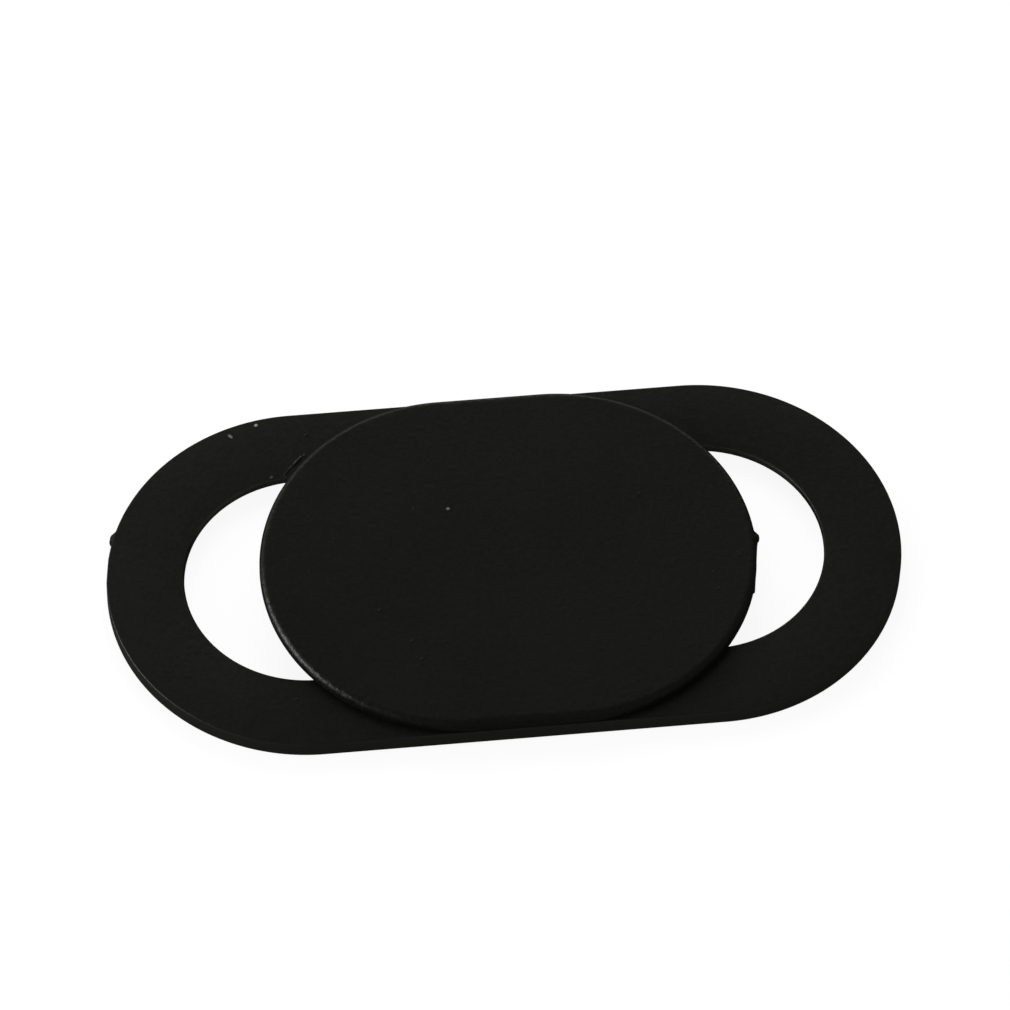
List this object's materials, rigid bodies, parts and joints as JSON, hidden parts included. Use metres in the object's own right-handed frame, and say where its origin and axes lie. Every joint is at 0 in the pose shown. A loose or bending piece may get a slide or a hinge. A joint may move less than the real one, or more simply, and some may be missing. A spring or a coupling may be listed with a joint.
{
  "type": "webcam cover slider",
  "caption": "Thin oblong stick-on webcam cover: a slotted ring frame and a round-ended shutter plate that slides along it to cover or clear a camera lens.",
  "frame": {"origin": "centre of the adhesive ring's own face, on the surface that the cover is stuck to", "axes": "+X along the slide and the oblong's length, +Y across it, +Z away from the screen, towards the shutter plate"},
  "size_m": [0.018, 0.009, 0.0009],
  "materials": {
    "frame_plastic": "black moulded plastic, fine matt texture",
    "slider_plastic": "black moulded plastic, fine matt texture, rim slightly smoother",
    "adhesive": "dark grey double-sided tape, tacky satin face"
  },
  "bodies": {
    "frame": {"frame": "frame_plastic", "adhesive_ring": "adhesive"},
    "slider": {"slider": "slider_plastic"}
  },
  "joints": [
    {"name": "shutter_slide", "type": "slide", "parent": "frame", "child": "slider", "axis": [1, 0, 0], "range_m": [-0.00345, 0.00331]}
  ]
}
